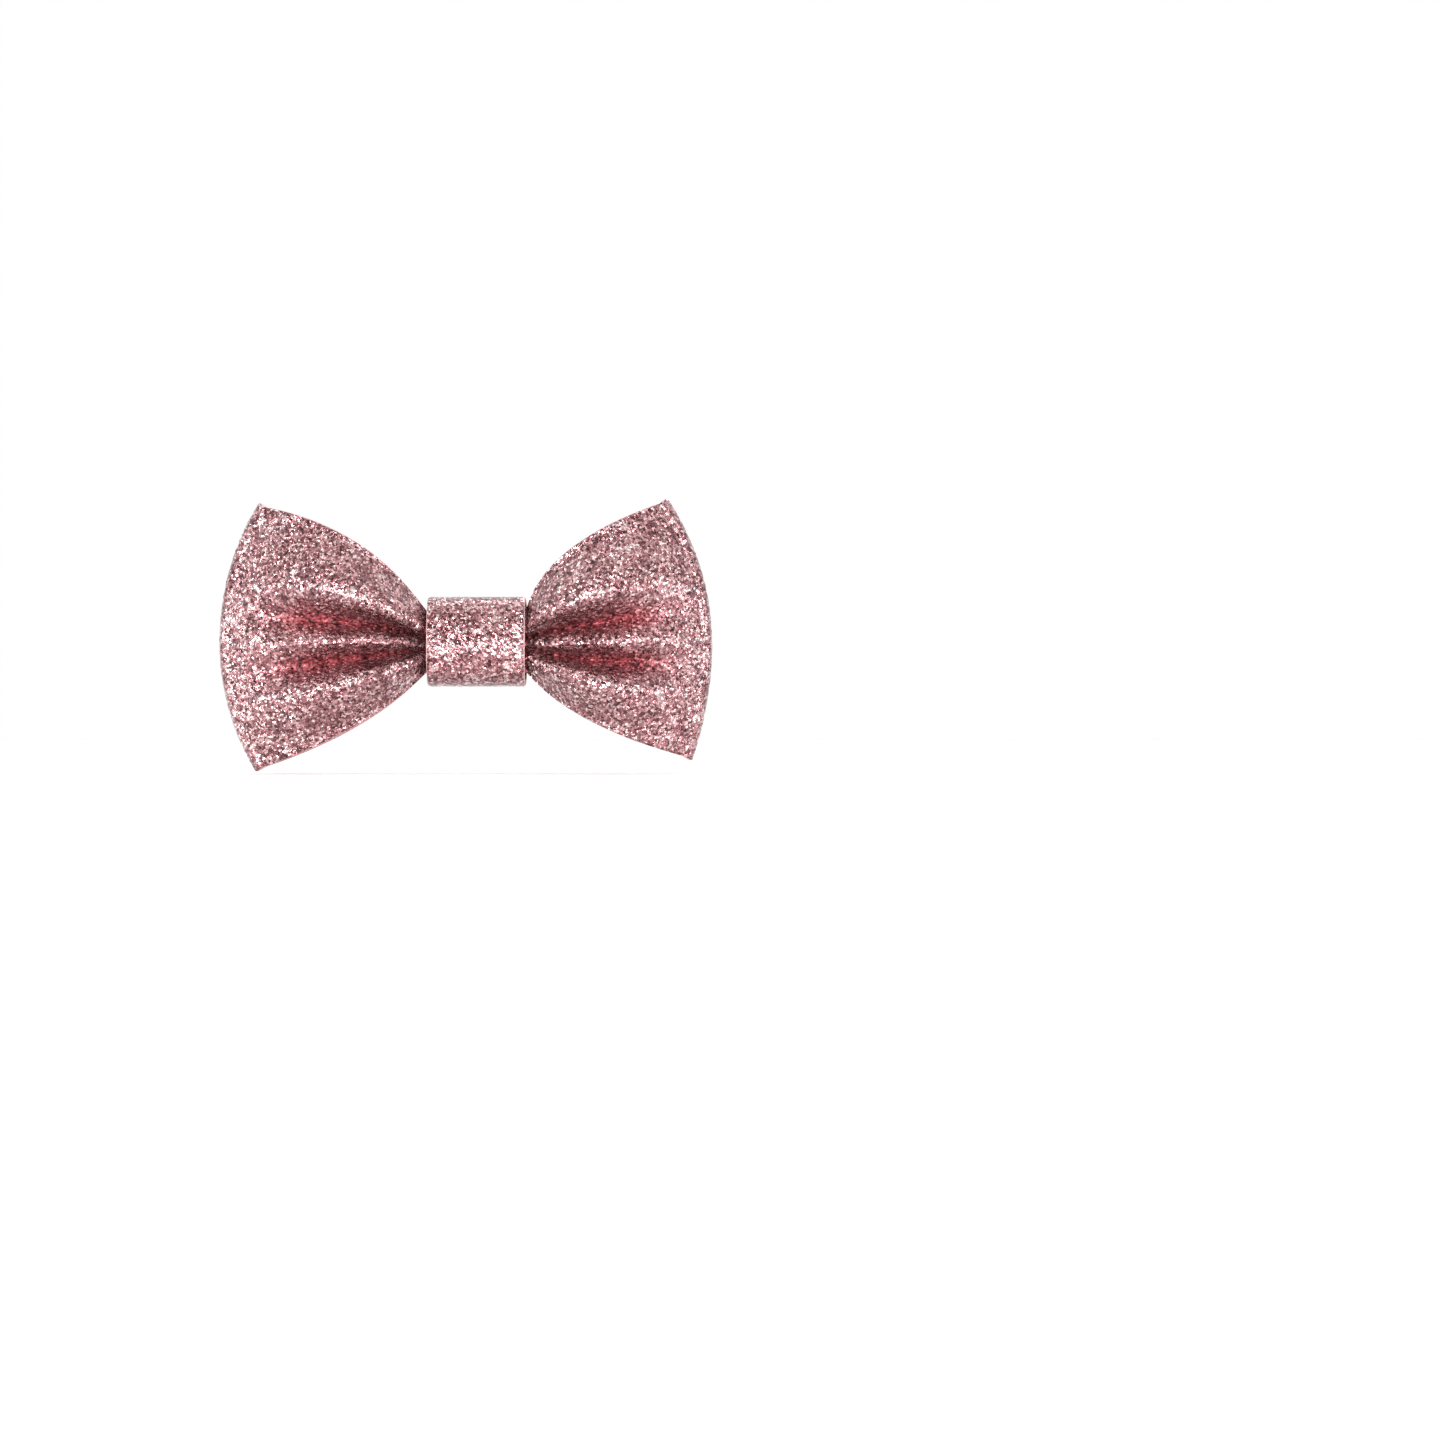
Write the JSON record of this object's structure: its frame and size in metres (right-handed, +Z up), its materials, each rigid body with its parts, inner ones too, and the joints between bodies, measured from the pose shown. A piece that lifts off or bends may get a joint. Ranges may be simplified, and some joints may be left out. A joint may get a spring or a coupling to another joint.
{
  "type": "hair bow",
  "caption": "Glitter-canvas hair bow: a looped strip gathered at the waist under a wrapped centre band, on a sprung alligator hair clip.",
  "frame": {"origin": "middle of the bow's waist, on the gripping face of the clip's ribbon-lined front arm, where the hair lies", "axes": "the bow as worn: +X along the bow to its right as seen from the front, +Y backwards into the hair, +Z up"},
  "size_m": [0.0728, 0.0233, 0.0407],
  "materials": {
    "rose_glitter_canvas": "rose-pink glitter on woven backing",
    "sewing_thread": "matte",
    "hot_melt_glue": "translucent",
    "grosgrain_ribbon": "ribbed satin",
    "plated_steel": "nickel plated",
    "rivet_steel": "polished",
    "spring_wire": "drawn wire"
  },
  "bodies": {
    "bow": {"bow_strip": "rose_glitter_canvas", "centre_band": "rose_glitter_canvas", "waist_thread": "sewing_thread", "flap_glue": "hot_melt_glue", "arm_glue": "hot_melt_glue", "band_glue": "hot_melt_glue", "clip_lining": "grosgrain_ribbon", "front_arm": "plated_steel", "hinge_rivet": "rivet_steel", "torsion_spring": "spring_wire"},
    "jaw": {"rear_jaw": "plated_steel"}
  },
  "joints": [
    {"name": "clip_hinge", "type": "hinge", "parent": "bow", "child": "jaw", "pos_m": [0.0106, 0.0024, 0], "axis": [0, 0, -1], "range_deg": [0, 28], "stiffness_Nm_per_rad": 0.02, "springref_deg": -68.75, "deforming": ["torsion_spring"]}
  ]
}
